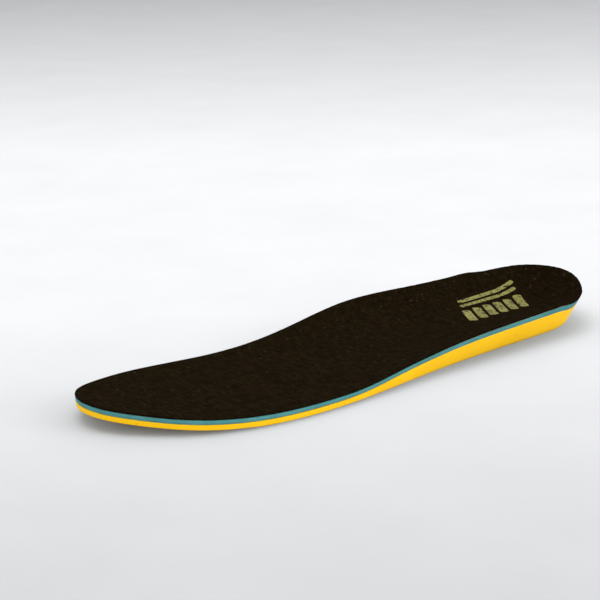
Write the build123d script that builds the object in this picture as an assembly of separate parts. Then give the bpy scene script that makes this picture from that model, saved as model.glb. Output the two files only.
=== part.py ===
from build123d import *

import math
import os

# Left-foot cushioned insole. Toe towards -X, heel towards +X, inner (arch) side towards +Y.
# The origin is under the middle of the sole, on the surface that the insole lies on.
# All sizes are in millimetres.

# ------------------------------------------------------------------ driving dimensions

COVER_THICK = 0.9          # brushed fabric top cover
FILM_THICK = 0.15          # hot-melt film under the cover, and the one under the memory foam
FOAM_THICK = 1.9           # memory foam sheet
PRINT_THICK = 0.12         # transfer print on the cover at the heel

TOE_SPRING = 6.0           # how far the toe tip stands off the surface
SPRING_START_X = -66.0     # the sole is flat from here back to the heel
TIP_X = -140.0
HEEL_CENTRE = (104.7, 3.8)  # middle of the heel cup and of the heel rings
HEEL_RIM_RADIUS = 35.4

BASE_CORNER_HEIGHT = 3.0   # height of the slanted corner between the sole and the wall
BASE_CORNER_STEP = 2.2     # how far that corner steps in at the sole, where the wall is high
WALL_TOP_Z = 30.0          # the walls are drawn up to here, then cut by the top surface

# Rim of the cut edge, from the toe tip round the inner side, the heel and the outer side:
# x, y, and how far the moulded sole steps in below that point.
RIM = [
    (-140.0, 3.8, 0.6), (-131.3, 23.4, 0.6), (-116.8, 33.5, 0.6), (-95.0, 41.5, 0.6),
    (-63.0, 42.4, 0.9), (-37.0, 40.4, 3.0), (-8.0, 41.8, 11.0), (18.0, 46.4, 19.2),
    (35.5, 47.4, 21.3), (64.6, 44.0, 17.0), (93.6, 40.6, 11.5), (115.0, 37.6, 9.8),
    (129.8, 29.8, 9.2), (137.6, 18.0, 9.0), (140.0, 6.6, 9.0), (137.6, -6.0, 9.0),
    (130.6, -17.2, 9.0), (119.0, -27.0, 9.0), (98.0, -31.8, 8.8), (50.0, -35.4, 7.0),
    (10.0, -39.5, 3.6), (-30.0, -45.3, 1.0), (-63.1, -47.4, 0.6), (-88.0, -44.8, 0.6),
    (-110.0, -36.8, 0.6), (-128.4, -21.5, 0.6), (-138.0, -8.0, 0.6),
]
INNER_SIDE = RIM[3:11] + [(HEEL_CENTRE[0], HEEL_CENTRE[1] + HEEL_RIM_RADIUS)]
OUTER_SIDE = RIM[18:24][::-1] + [(HEEL_CENTRE[0], HEEL_CENTRE[1] - HEEL_RIM_RADIUS)]
INNER_JOIN = 8             # rim points where the front and rear halves of the outline join
OUTER_JOIN = 20
HEEL_STEP = 9.0            # step of the sole round the heel, for scaling the slanted corner

# Shape of the top: (x, value) stations along the insole.
SEAT_LINE_Y = [(-70.0, -3.0), (30.0, -4.0), (104.7, 3.8)]
SEAT_THICK = [(-60.0, 5.7), (0.0, 6.5), (60.0, 8.0), (104.7, 8.5)]
ARCH_RISE = [(-62.0, 0.0), (-37.0, 1.0), (-10.0, 3.7), (18.0, 6.5), (35.0, 8.0), (65.0, 8.9), (104.7, 9.8)]
OUTER_RISE = [(-45.0, 0.0), (-25.0, 0.4), (4.0, 3.2), (34.0, 5.6), (63.0, 6.9), (104.7, 8.1)]
HEEL_LIFT = 3.8            # how much higher the rim stands behind the heel than beside it
RISE_POWER = 2.5           # how late the top turns up towards the rim

# Flex line under the ball of the foot, where the front half bends up.
FLEX_X = -48.0             # where the line crosses the seat line
FLEX_Y = -2.2
FLEX_TURN = 17.0           # degrees that the line turns away from straight across
FLEX_GAP = 0.3             # clearance left between the two halves of each layer

# Relief in the sole.
GROOVE_DEPTH = 1.0
FINE_DEPTH = 0.45
HEEL_RING_RADII = (10.5, 20.3)
HEEL_RING_WIDTH = 2.2
RIB_COUNT = 12
RIB_PITCH = 8.4
RIB_LAST_X = 75.0          # toe-side point of the rib groove nearest the heel rings
RIB_FIRST_RADIUS = 23.6
RIB_RADIUS_STEP = 1.17
RIB_GROOVE_WIDTH = 1.4
RIB_FIRST_SHIFT = 0.4      # how far the first rib centre lies to the outer side of the heel centre
RIB_SHIFT_STEP = 0.65      # and how much further each next one
RIB_EDGE_MARGIN = 2.5      # the rib grooves stop this far inside the edge of the sole
RIB_END_STEP = 1.0         # degrees, step of the search for that end
RIB_END_LIMIT = 88.0
FAN_WIDTH = 0.8
PIN_HOLE_RADIUS = 0.5
PIN_HOLE_DEPTH = 2.0       # measured up from the surface that the insole lies on

# Each fan groove of the forefoot, from the rim inwards; its second point carries a pin hole.
FAN_GROOVES = [
    [(-62.4, 41.6), (-50.1, 32.8), (-37.7, 24.1)],
    [(-76.9, 40.4), (-64.9, 32.5), (-44.3, 24.1)],
    [(-89.9, 38.6), (-78.9, 31.5), (-58.8, 21.9)],
    [(-107.8, 37.5), (-91.3, 25.9), (-76.3, 20.3), (-64.6, 17.6)],
    [(-124.0, 28.9), (-97.2, 16.7), (-79.9, 11.8), (-64.6, 8.2)],
    [(-137.1, 11.7), (-101.8, 5.5), (-82.6, 3.8), (-63.8, 1.9)],
    [(-134.9, -8.1), (-103.6, -6.2), (-83.1, -3.6), (-63.1, -1.3)],
    [(-118.2, -23.8), (-100.7, -17.7), (-81.1, -12.6), (-62.4, -10.0)],
    [(-106.6, -33.2), (-94.3, -27.4), (-77.5, -20.4), (-62.4, -15.1)],
    [(-96.5, -39.0), (-83.1, -32.9), (-61.7, -24.5)],
    [(-73.3, -44.6), (-66.3, -39.0), (-58.8, -33.9)],
    [(-55.9, -44.1), (-50.8, -39.9), (-45.7, -32.5)],
]
INNER_PIN_ROW = range(3, 9)     # the long grooves, whose third point carries a pin hole too
ARCH_PIN_HOLE = (-15.8, -2.6)

# Generic relief on the sole behind the fan: a row of short bars beside two long bars.
EMBLEM_CENTRE = (-47.0, -4.7)
EMBLEM_BARS = 7
EMBLEM_PITCH = 7.4
EMBLEM_BAR_SIZE = (18.0, 4.6)
EMBLEM_LONG_BAR_SIZE = (2.6, 49.0)
EMBLEM_HEIGHT = 0.5

# Print on the cover at the heel: the same motif, smaller, with leaning bars.
PRINT_CENTRE = (96.8, 11.0)
PRINT_TURN = 183.0         # degrees, so that the long bars lie on the inner side
PRINT_LEAN = 30.0          # degrees that the short bars lean
PRINT_BARS = 6
PRINT_PITCH = 7.0
PRINT_BAR_SIZE = (4.4, 17.0)
PRINT_LONG_BAR_SIZE = (38.0, 2.6)

MOTIF_GAP = 2.8            # between the short bars and the first long bar
LONG_BAR_GAP = 1.8         # between the two long bars
BAR_ROUNDING = 0.3         # corner radius of a short bar, as a share of its width
LONG_BAR_ROUNDING = 0.4

TOP_GRID_X = 12.0          # spacing of the sections that the top surface runs through
TOP_GRID_Y = 9.5
TOP_SECTIONS_EACH_WAY = 12
TOP_POINTS_EACH_WAY = 6
TOP_BLOCK_DEPTH = 30.0
SPRING_OVERRUN = 10.0      # how far the curve of the sole is drawn past the toe tip
SPRING_STEPS = 8
CUTTER_HEIGHT = 40.0       # taller than the insole
OUTSIDE = 400.0            # larger than anything here
SMALLEST_SOLID = 0.01      # mm3, slivers below this are dropped


# ------------------------------------------------------------------ shape formulas

def along(x, stations):
    """Smooth value at x through (x, value) stations, constant beyond the ends."""
    if x <= stations[0][0]:
        return stations[0][1]
    if x >= stations[-1][0]:
        return stations[-1][1]
    last = len(stations) - 1
    i = max(k for k in range(last) if stations[k][0] <= x)

    def slope(k):
        if k in (0, last):
            return 0.0
        rise = stations[k + 1][1] - stations[k - 1][1]
        return rise / (stations[k + 1][0] - stations[k - 1][0])

    (x0, v0), (x1, v1) = stations[i][:2], stations[i + 1][:2]
    span = x1 - x0
    t = (x - x0) / span
    ease = t * t * (3.0 - 2.0 * t)
    start_bend = t * (1.0 - t) ** 2 * slope(i) * span
    end_bend = t * t * (t - 1.0) * slope(i + 1) * span
    return v0 + (v1 - v0) * ease + start_bend + end_bend


def sole_height(x):
    """Underside of the sole: flat, and curving up towards the toe tip."""
    t = max(0.0, (SPRING_START_X - x) / (SPRING_START_X - TIP_X))
    return TOE_SPRING * t * t


def rise_share(reach):
    """0 on the seat line, 1 at the rim, and straight on beyond the rim."""
    if reach <= 1.0:
        return reach ** RISE_POWER
    return 1.0 + RISE_POWER * (reach - 1.0)


def top_height(x, y):
    """Top of the cover: a dish that rises to the arch, the outer side and the heel rim."""
    seat = sole_height(x) + along(x, SEAT_THICK)
    arch_rise = along(x, ARCH_RISE)
    outer_rise = along(x, OUTER_RISE)
    if x > HEEL_CENTRE[0]:
        dx = x - HEEL_CENTRE[0]
        dy = y - HEEL_CENTRE[1]
        radius = max(math.hypot(dx, dy), 1e-6)
        inner_share = 0.5 + 0.5 * dy / radius
        rise = outer_rise + (arch_rise - outer_rise) * inner_share + HEEL_LIFT * (dx / radius) ** 2
        return seat + rise * rise_share(radius / HEEL_RIM_RADIUS)
    off = y - along(x, SEAT_LINE_Y)
    if off > 0.0:
        half_width = along(x, INNER_SIDE) - along(x, SEAT_LINE_Y)
        return seat + arch_rise * rise_share(off / half_width)
    half_width = along(x, SEAT_LINE_Y) - along(x, OUTER_SIDE)
    return seat + outer_rise * rise_share(-off / half_width)


# ------------------------------------------------------------------ building blocks

def inward(i):
    """Unit direction from rim point i towards the middle of the insole."""
    ahead = RIM[(i + 1) % len(RIM)]
    behind = RIM[i - 1]
    dx = ahead[0] - behind[0]
    dy = ahead[1] - behind[1]
    size = math.hypot(dx, dy)
    return dy / size, -dx / size


def outline(z, extra_step=0.0):
    """Closed outline of the wall at height z; the wall leans out to meet the rim."""
    points = []
    for i, (x, y, step) in enumerate(RIM):
        inset = step * (1.0 - z / top_height(x, y)) + extra_step * min(1.0, step / HEEL_STEP)
        nx, ny = inward(i)
        points.append((x + nx * inset, y + ny * inset, z))
    front = points[OUTER_JOIN:] + points[:INNER_JOIN + 1]
    rear = points[INNER_JOIN:OUTER_JOIN + 1]
    return Wire([Edge.make_spline(front), Edge.make_spline(rear)])


def wall_block():
    """Everything inside the outer wall, from the sole up past the rim."""
    levels = [outline(0.0, BASE_CORNER_STEP), outline(BASE_CORNER_HEIGHT), outline(WALL_TOP_Z)]
    return Solid.make_loft(levels, ruled=True)


def top_section(x):
    """Upright section across the insole, closed well below the sole."""
    rows = range(-TOP_POINTS_EACH_WAY, TOP_POINTS_EACH_WAY + 1)
    points = [(x, j * TOP_GRID_Y, top_height(x, j * TOP_GRID_Y)) for j in rows]
    curve = Edge.make_spline(points)
    closing = Polyline(points[-1], (x, points[-1][1], -TOP_BLOCK_DEPTH),
                       (x, points[0][1], -TOP_BLOCK_DEPTH), points[0])
    return Wire([curve] + closing.edges())


def top_block():
    """Everything below the top surface."""
    places = range(-TOP_SECTIONS_EACH_WAY, TOP_SECTIONS_EACH_WAY + 1)
    return Solid.make_loft([top_section(i * TOP_GRID_X) for i in places])


def above_sole(lift=0.0):
    """Everything above the underside of the sole raised by lift."""
    run = SPRING_START_X - TIP_X + SPRING_OVERRUN
    spring = []
    for i in range(SPRING_STEPS + 1):
        x = SPRING_START_X - run * i / SPRING_STEPS
        spring.append((x, sole_height(x) + lift))
    far = spring[-1]
    end_slope = 2.0 * TOE_SPRING * run / (SPRING_START_X - TIP_X) ** 2
    with BuildPart() as block:
        with BuildSketch(Plane.XZ):
            with BuildLine():
                Spline(*spring, tangents=[(-1, 0), (-1, end_slope)])
                Polyline(far, (far[0], OUTSIDE / 2), (OUTSIDE / 2, OUTSIDE / 2), (OUTSIDE / 2, lift),
                         spring[0])
            make_face()
        extrude(amount=OUTSIDE / 2, both=True)
    return block.part


def half_space(side, gap):
    """One side of the flex plane, standing back from it by gap. side is -1 for the toe half."""
    place = Location((FLEX_X, FLEX_Y, 0), (0, 0, FLEX_TURN))
    shift = side * (OUTSIDE / 2 + gap)
    return place * Pos(shift, 0, 0) * Box(OUTSIDE, OUTSIDE * 2, OUTSIDE)


def strip(points, width, height):
    """Upright wall of the given width along a smooth line, for cutting a groove."""
    with BuildPart() as wall:
        with BuildSketch():
            with BuildLine() as route:
                Spline(*points)
            trace(route.line, line_width=width)
        extrude(amount=height)
    return wall.part


def motif(bars, pitch, bar_size, long_bar_size, lean, height):
    """Row of short bars beside two long bars, centred on the origin. Bars run across the row."""
    row_along_x = bar_size[0] < bar_size[1]
    slant = math.radians(lean)
    short_reach = max(bar_size) * math.cos(slant) + min(bar_size) * math.sin(slant)
    long_reach = min(long_bar_size)
    total = short_reach + MOTIF_GAP + 2 * long_reach + LONG_BAR_GAP

    def place(at, away, turn):
        spot = (at + away * math.tan(slant), away, 0) if row_along_x else (-away, at, 0)
        return Location(spot, (0, 0, -turn))

    with BuildPart() as block:
        with BuildSketch():
            for i in range(bars):
                with Locations(place((i - (bars - 1) / 2) * pitch, (total - short_reach) / 2, lean)):
                    RectangleRounded(*bar_size, min(bar_size) * BAR_ROUNDING)
            for i in range(2):
                away = (long_reach - total) / 2 + i * (long_reach + LONG_BAR_GAP)
                with Locations(place(0, away, 0)):
                    RectangleRounded(*long_bar_size, long_reach * LONG_BAR_ROUNDING)
        extrude(amount=height)
    return block.part


# ------------------------------------------------------------------ relief cut into the sole

def heel_rings():
    x, y = HEEL_CENTRE
    rings = []
    for radius in HEEL_RING_RADII:
        outer = Cylinder(radius + HEEL_RING_WIDTH / 2, 2 * GROOVE_DEPTH)
        inner = Cylinder(radius - HEEL_RING_WIDTH / 2, 3 * GROOVE_DEPTH)
        rings.append(Pos(x, y, 0) * (outer - inner))
    return rings


def rib_groove_end(centre, radius, field, direction):
    """Angle, counted from the toe side of the arc, at which it leaves the field."""
    angle = 0.0
    step = math.radians(RIB_END_STEP)
    while angle < math.radians(RIB_END_LIMIT):
        x = centre[0] - radius * math.cos(angle + step)
        y = centre[1] + direction * radius * math.sin(angle + step)
        if not field.is_inside(Vector(x, y, 0.0)):
            break
        angle += step
    return math.degrees(angle)


def rib_grooves():
    """Crescent grooves under the arch, each a little wider than the one behind it."""
    sole = outline(0.0, BASE_CORNER_STEP)
    field = Face(sole.offset_2d(-RIB_EDGE_MARGIN))
    grooves = []
    for i in range(RIB_COUNT):
        radius = RIB_FIRST_RADIUS + RIB_RADIUS_STEP * (i + 1) - RIB_GROOVE_WIDTH / 2
        toe_x = RIB_LAST_X - RIB_PITCH * i + RIB_GROOVE_WIDTH / 2
        centre = (toe_x + radius, HEEL_CENTRE[1] - RIB_FIRST_SHIFT - RIB_SHIFT_STEP * i)
        inner_end = rib_groove_end(centre, radius, field, 1)
        outer_end = rib_groove_end(centre, radius, field, -1)
        with BuildPart() as groove:
            with BuildSketch(Plane.XY.offset(-GROOVE_DEPTH)):
                with Locations(centre):
                    arc = CenterArc((0, 0), radius, 180.0 - inner_end, inner_end + outer_end)
                    SlotArc(arc, RIB_GROOVE_WIDTH)
            extrude(amount=2 * GROOVE_DEPTH)
        grooves.append(groove.part)
    return grooves


def fan_grooves(block):
    """Fine grooves of the forefoot, of one depth along the curved-up toe."""
    skin = block - above_sole(FINE_DEPTH)
    return [strip(points, FAN_WIDTH, CUTTER_HEIGHT) & skin for points in FAN_GROOVES]


def pin_holes():
    places = [points[1] for points in FAN_GROOVES]
    places += [FAN_GROOVES[i][2] for i in INNER_PIN_ROW]
    places.append(ARCH_PIN_HOLE)
    return [Pos(x, y, 0) * Cylinder(PIN_HOLE_RADIUS, 2 * PIN_HOLE_DEPTH) for x, y in places]


def emblem():
    """Sunken panel lines of the generic motif."""
    bars = motif(EMBLEM_BARS, EMBLEM_PITCH, EMBLEM_BAR_SIZE, EMBLEM_LONG_BAR_SIZE, 0.0, 2 * EMBLEM_HEIGHT)
    return Pos(*EMBLEM_CENTRE, -EMBLEM_HEIGHT) * bars


# ------------------------------------------------------------------ layers

def slice_layer(block, top, top_drop, bottom_drop):
    """The part of the block between two copies of the top surface."""
    return (block & (Pos(0, 0, -top_drop) * top)) - (Pos(0, 0, -bottom_drop) * top)


def solids_of(shape):
    return [solid for solid in shape.solids() if solid.volume > SMALLEST_SOLID]


def main():
    os.makedirs("parts", exist_ok=True)
    block = wall_block() & above_sole()
    top = top_block()

    cover_bottom = COVER_THICK
    foam_top = cover_bottom + FILM_THICK
    foam_bottom = foam_top + FOAM_THICK
    base_top = foam_bottom + FILM_THICK

    base = block & (Pos(0, 0, -base_top) * top)
    for cutter in rib_grooves() + heel_rings() + fan_grooves(block) + pin_holes():
        base -= cutter
    base -= emblem()

    layers = {
        "top_cover": slice_layer(block, top, 0.0, cover_bottom),
        "cover_bond_film": slice_layer(block, top, cover_bottom, foam_top),
        "memory_foam": slice_layer(block, top, foam_top, foam_bottom),
        "base_bond_film": slice_layer(block, top, foam_bottom, base_top),
        "moulded_base": base,
    }
    nodes = {}
    for name, layer in layers.items():
        nodes[name + "_front"] = layer & half_space(-1, FLEX_GAP / 2)
        nodes[name + "_rear"] = layer & half_space(1, FLEX_GAP / 2)

    stamp = motif(PRINT_BARS, PRINT_PITCH, PRINT_BAR_SIZE, PRINT_LONG_BAR_SIZE, PRINT_LEAN,
                  CUTTER_HEIGHT)
    stamp = Pos(*PRINT_CENTRE, 0) * Rot(0, 0, PRINT_TURN) * stamp
    nodes["heel_print"] = slice_layer(stamp, top, -PRINT_THICK, 0.0)

    for name, shape in nodes.items():
        pieces = solids_of(shape)
        print(name, len(pieces), "solids", round(sum(p.volume for p in pieces)), "mm3")
        export_step(Compound(label=name, children=pieces), "parts/" + name + ".step")


main()
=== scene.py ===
import math

import bpy
import numpy as np
from mathutils import Matrix, Vector, geometry, kdtree, noise


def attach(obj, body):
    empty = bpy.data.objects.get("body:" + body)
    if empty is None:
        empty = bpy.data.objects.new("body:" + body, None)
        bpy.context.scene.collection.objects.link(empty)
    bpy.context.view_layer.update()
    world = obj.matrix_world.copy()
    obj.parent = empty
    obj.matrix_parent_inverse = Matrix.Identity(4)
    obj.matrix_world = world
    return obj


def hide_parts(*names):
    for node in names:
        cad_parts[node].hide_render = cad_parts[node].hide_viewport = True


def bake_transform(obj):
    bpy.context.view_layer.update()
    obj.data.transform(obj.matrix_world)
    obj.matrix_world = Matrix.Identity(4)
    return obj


# Left-foot cushioned insole, cover up, toe towards -X, heel towards +X, arch side towards +Y.
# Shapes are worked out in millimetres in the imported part's frame, and turned into metres in make_mesh().

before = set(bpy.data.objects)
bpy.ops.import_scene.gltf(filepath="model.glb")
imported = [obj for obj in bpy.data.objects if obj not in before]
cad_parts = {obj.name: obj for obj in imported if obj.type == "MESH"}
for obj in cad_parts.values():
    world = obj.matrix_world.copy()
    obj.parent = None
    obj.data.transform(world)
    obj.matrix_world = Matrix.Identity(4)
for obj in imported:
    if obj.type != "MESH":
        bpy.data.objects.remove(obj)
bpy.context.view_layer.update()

MM = 0.001

# ------------------------------------------------------------------ shape of the insole, mm

COVER_THICK = 0.9
FILM_THICK = 0.15
FOAM_THICK = 1.9
FOAM_TOP = COVER_THICK + FILM_THICK
FOAM_BOTTOM = FOAM_TOP + FOAM_THICK
BASE_TOP = FOAM_BOTTOM + FILM_THICK

TOE_SPRING = 6.0
SPRING_START_X = -66.0
TIP_X = -140.0
HEEL_CENTRE = (104.7, 3.8)
HEEL_RIM_RADIUS = 35.4

# Rim of the cut edge: x, y, and how far the moulded sole steps in below it.
RIM = [
    (-140.0, 3.8, 0.6), (-131.3, 23.4, 0.6), (-116.8, 33.5, 0.6), (-95.0, 41.5, 0.6),
    (-63.0, 42.4, 0.9), (-37.0, 40.4, 3.0), (-8.0, 41.8, 11.0), (18.0, 46.4, 19.2),
    (35.5, 47.4, 21.3), (64.6, 44.0, 17.0), (93.6, 40.6, 11.5), (115.0, 37.6, 9.8),
    (129.8, 29.8, 9.2), (137.6, 18.0, 9.0), (140.0, 6.6, 9.0), (137.6, -6.0, 9.0),
    (130.6, -17.2, 9.0), (119.0, -27.0, 9.0), (98.0, -31.8, 8.8), (50.0, -35.4, 7.0),
    (10.0, -39.5, 3.6), (-30.0, -45.3, 1.0), (-63.1, -47.4, 0.6), (-88.0, -44.8, 0.6),
    (-110.0, -36.8, 0.6), (-128.4, -21.5, 0.6), (-138.0, -8.0, 0.6),
]
INNER_SIDE = [point[:2] for point in RIM[3:12]]
OUTER_SIDE = [point[:2] for point in RIM[17:24][::-1]]
HEEL_BLEND = (98.0, 114.0)  # where the cross sections give way to the round heel cup

SEAT_LINE_Y = [(-70.0, -3.0), (30.0, -4.0), (104.7, 3.8)]
SEAT_THICK = [(-60.0, 5.7), (0.0, 6.5), (60.0, 8.0), (104.7, 8.5)]
ARCH_RISE = [(-62.0, 0.0), (-37.0, 1.0), (-10.0, 3.7), (18.0, 6.5), (35.0, 8.0), (65.0, 8.9), (104.7, 9.8)]
OUTER_RISE = [(-45.0, 0.0), (-25.0, 0.4), (4.0, 3.2), (34.0, 5.6), (63.0, 6.9), (104.7, 8.1)]
HEEL_LIFT = 3.8
RISE_POWER = 2.5
LEAST_STEP = 0.4           # the sole always steps in at least this far below the rim
GRID_HALF_LENGTH = 142.0   # the point grids reach just past the outline
GRID_HALF_WIDTH = 50.0

# Radius of the moulded corner between the wall and the sole.
CORNER = [(-60.0, 0.7), (-20.0, 1.2), (40.0, 1.6), (80.0, 3.0), (110.0, 4.0)]

# Relief of the sole: grooves of the rings and ribs.
GROOVE_DEPTH = 1.0
GROOVE_HALF_WIDTH = 0.8
GROOVE_POWER = 1.5         # how sharp the V of a groove is

# Heel rings. The depths here and in the ribs are shares of the groove depth.
RING_RADII = (10.5, 20.3)
DISC_FALL = 0.6            # how far the middle disc and the annulus round off towards a ring
DISC_POWER = 7
ANNULUS_POWER = 4
LIP_FALL = 0.45            # the rounding just outside the outer ring
LIP_WIDTH = 2.6
DIMPLE_FALL = 0.35
DIMPLE_RADIUS = 0.8
HEEL_DISC_BLUR = 0.6       # over which the rings take over from the ribs

# Crescent ribs, counted from the heel.
RIB_COUNT = 12
RIB_PITCH = 8.4
RIB_LAST_X = 75.0
RIB_FIRST_RADIUS = 23.6
RIB_RADIUS_STEP = 1.17
RIB_FIRST_SHIFT = 0.4      # sideways from the heel's centre, then a step more at each rib
RIB_SHIFT_STEP = 0.65
TOE_FLANK_START = 0.42     # share of the rib's width where its long slope to the groove starts
TOE_FLANK_FALL = 0.75
TOE_FLANK_POWER = 2.6
HEEL_FLANK_END = 0.3
HEEL_FLANK_FALL = 0.35
SHOULDER_FALL = 0.3        # the rounding past the last groove
SHOULDER_WIDTH = 3.0
RIB_EDGE_FADE = (1.1, 4.7)                                     # distance from the sole's edge
RIB_HEEL_FADE = (HEEL_CENTRE[0] + 2.0, HEEL_CENTRE[0] - 8.0)   # along X

# Fan grooves, pin holes and the ledge along the arch.
FAN_DEPTH = 0.42
FAN_HALF_WIDTH = 0.65
PIN_RADIUS = 0.55
PIN_DEPTH = 2.0
PIN_WALL = 0.12            # half the width of the hole's sloping wall
LEDGE_DEPTH = 0.3
LEDGE_EDGE = (3.1, 2.5)    # distance from the sole's edge
LEDGE_TOE_FADE = (-22.0, 0.0)
LEDGE_HEEL_FADE = (88.0, 60.0)

# Each fan groove of the forefoot, from the rim inwards; its second point carries a pin hole.
FAN_GROOVES = [
    [(-62.4, 41.6), (-50.1, 32.8), (-37.7, 24.1)],
    [(-76.9, 40.4), (-64.9, 32.5), (-44.3, 24.1)],
    [(-89.9, 38.6), (-78.9, 31.5), (-58.8, 21.9)],
    [(-107.8, 37.5), (-91.3, 25.9), (-76.3, 20.3), (-64.6, 17.6)],
    [(-124.0, 28.9), (-97.2, 16.7), (-79.9, 11.8), (-64.6, 8.2)],
    [(-137.1, 11.7), (-101.8, 5.5), (-82.6, 3.8), (-63.8, 1.9)],
    [(-134.9, -8.1), (-103.6, -6.2), (-83.1, -3.6), (-63.1, -1.3)],
    [(-118.2, -23.8), (-100.7, -17.7), (-81.1, -12.6), (-62.4, -10.0)],
    [(-106.6, -33.2), (-94.3, -27.4), (-77.5, -20.4), (-62.4, -15.1)],
    [(-96.5, -39.0), (-83.1, -32.9), (-61.7, -24.5)],
    [(-73.3, -44.6), (-66.3, -39.0), (-58.8, -33.9)],
    [(-55.9, -44.1), (-50.8, -39.9), (-45.7, -32.5)],
]
INNER_PIN_ROW = range(3, 9)
ARCH_PIN = (-15.8, -2.6)

# Shallow step that borders the toe, tapering into the rim at both ends.
TOE_BORDER = [
    (-107.8, 37.6), (-118.2, 28.5), (-126.9, 19.8), (-131.0, 8.0), (-129.1, -9.3),
    (-124.0, -19.4), (-116.8, -28.1), (-108.1, -33.9), (-97.9, -39.7), (-84.9, -44.1),
]
BORDER_STEP = 0.28
BORDER_WALL = 0.5          # half the width of the step's slope
BORDER_END_X = -80.0

# Generic relief and generic print: a row of short bars beside two long bars.
EMBLEM = dict(centre=(-47.0, -4.7), turn=0.0, lean=0.0, bars=7, pitch=7.4, bar=(18.0, 4.6),
              long_bar=(2.6, 49.0))
EMBLEM_DEPTH = 0.5
EMBLEM_WALL = 0.32         # half the width of the bars' sloping walls
PRINT = dict(centre=(96.8, 11.0), turn=math.radians(183.0), lean=math.radians(30.0), bars=6, pitch=7.0,
             bar=(4.4, 17.0), long_bar=(38.0, 2.6))
MOTIF_GAP = 2.8
LONG_BAR_GAP = 1.8
BAR_ROUNDING = 0.3         # corner radius as a share of the bar's width
LONG_BAR_ROUNDING = 0.4
CORNER_POINTS = 5
PRINT_LIFT = 0.10
PRINT_SINK = 0.05          # how far the ink's underside lies in the nap
PRINT_SPACING = 0.6

# Mesh rows that follow each feature of the sole: offsets to its two sides.
PIN_ROWS = ((0.2, 5), (PIN_RADIUS - 0.14, 14), (PIN_RADIUS + 0.14, 14), (1.0, 12))  # radius, points
FAN_ROWS = (0.0, -0.35, 0.35, -0.75, 0.75, -1.3, 1.3)
BORDER_ROWS = (0.0, -0.5, 0.5)
EMBLEM_ROWS = (-0.36, 0.0, 0.36)
GROOVE_ROWS = (0.0, -0.4, 0.4, -0.85, 0.85, -1.6, 1.6)
FEATURE_SPACING = 0.8      # between points along a feature
BORDER_SPACING = 1.0

# Spacing of the points inside each surface, and how far they stay from its edge.
NAP_GRID = (0.95, 0.5)
PLAIN_GRID = (3.0, 1.5)
SOLE_GRID = (1.05, 0.7)
PRINT_GRID = (0.8, 0.35)
FEATURE_GAP = 0.24         # least distance between two points of the features
FEATURE_MARGIN = 0.4
SOLE_GAP = 0.6             # between the features and the sole's own points

# Unevenness as layers of noise: height, width and seed.
NAP = ((0.06, 3.1, 1.7), (0.05, 1.3, 8.2))
RAGGED_CUT = ((0.16, 0.9, 4.4), (0.14, 2.6, 9.1))
RAGGED_LIFT = 0.4          # how much of the cut's unevenness goes up and down
FOAM_ROUGHNESS = (0.05, 2.2)

# Rows down each cut edge: inset from the wall, then the drop or the share of the layer's depth.
COVER_SHOULDER = 0.55
COVER_EDGE = ((0.22, 0.05), (0.05, 0.2), (0.0, 0.45), (0.02, COVER_THICK - 0.12))
COVER_UNDER_INSET = 0.15
FOAM_EDGE = ((0.25, 0.0), (0.06, 0.12), (-0.02, 0.35), (-0.04, 0.6), (0.02, 0.85), (0.22, 1.0))
FILM_EDGE = ((0.55, 0.0), (0.5, 0.5), (0.55, 1.0))

# The base's upper corner, wall and lower corner.
BASE_SHOULDER = 0.45
BASE_SHOULDER_ROW = (0.08, 0.16)   # drop and inset
BASE_WALL_DROP = 0.3
WALL_SHARES = (0.0, 0.03, 0.1, 0.25, 0.4, 0.55, 0.7, 0.85, 1.0)
CORNER_SHARES = (0.16, 0.33, 0.5, 0.67, 0.84)

LOOP_COUNT = 720           # samples round the outline
EDGE_ROUNDS = 24           # rounds that find where a layer meets the leaning wall

CAMERA_TURN = math.radians(37.5)     # from straight in front of the outer side, towards the toe
CAMERA_RISE = math.radians(17.3)
CAMERA_DISTANCE = 0.856
CAMERA_ROLL = math.radians(0.9)
FOCAL_SHARE = 3.088                  # focal length over the picture's width
TARGET = Vector((0.0, -0.0022, 0.0))
TARGET_ACROSS = 0.0893               # where the target lands from the picture's middle, right
TARGET_DOWN = 0.1112                 # and down, as shares of its width
SENSOR_WIDTH = 36.0

HALVES = ("front", "rear")


# ------------------------------------------------------------------ shape formulas

def along(x, stations):
    """Smooth value at x through (x, value) stations, constant beyond the ends."""
    xs, values = np.array(stations, float).T
    slopes = np.zeros_like(values)
    slopes[1:-1] = (values[2:] - values[:-2]) / (xs[2:] - xs[:-2])
    x = np.clip(x, xs[0], xs[-1])
    i = np.clip(np.searchsorted(xs, x, side="right") - 1, 0, len(xs) - 2)
    span = xs[i + 1] - xs[i]
    t = (x - xs[i]) / span
    ease = t * t * (3.0 - 2.0 * t)
    start_bend = t * (1.0 - t) ** 2 * slopes[i] * span
    end_bend = t * t * (t - 1.0) * slopes[i + 1] * span
    return values[i] + (values[i + 1] - values[i]) * ease + start_bend + end_bend


def smoothstep(low, high, value):
    t = np.clip((value - low) / (high - low), 0.0, 1.0)
    return t * t * (3.0 - 2.0 * t)


def sole_height(x):
    t = np.maximum(0.0, (SPRING_START_X - x) / (SPRING_START_X - TIP_X))
    return TOE_SPRING * t * t


def rise_share(reach):
    reach = np.maximum(reach, 0.0)
    return np.where(reach <= 1.0, reach ** RISE_POWER, 1.0 + RISE_POWER * (reach - 1.0))


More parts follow.
